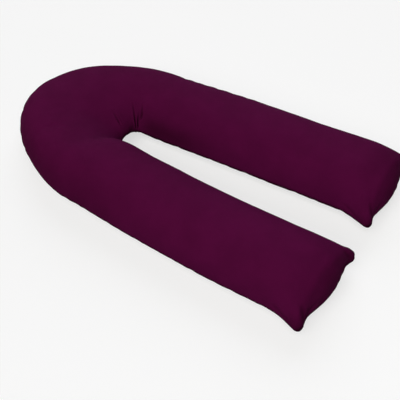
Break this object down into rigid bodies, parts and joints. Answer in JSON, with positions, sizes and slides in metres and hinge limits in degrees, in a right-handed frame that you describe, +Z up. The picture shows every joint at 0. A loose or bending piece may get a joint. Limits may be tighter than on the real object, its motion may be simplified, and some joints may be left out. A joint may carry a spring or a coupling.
{
  "type": "body pillow",
  "caption": "U-shaped stuffed body pillow lying flat: long puffy arms beside an open slot that the sleeper lies in, a broad rounded head, and eared corners at the ends of the arms.",
  "frame": {"origin": "middle of the footprint's box, on the surface that the pillow lies on", "axes": "+Y along the length to the head of the U, with the arms pointing to -Y; +X across; +Z up"},
  "size_m": [0.8198, 1.3978, 0.175],
  "materials": {
    "aubergine_cloth": "smooth matt cloth"
  },
  "bodies": {
    "root": {"pillow": "aubergine_cloth"}
  },
  "joints": []
}
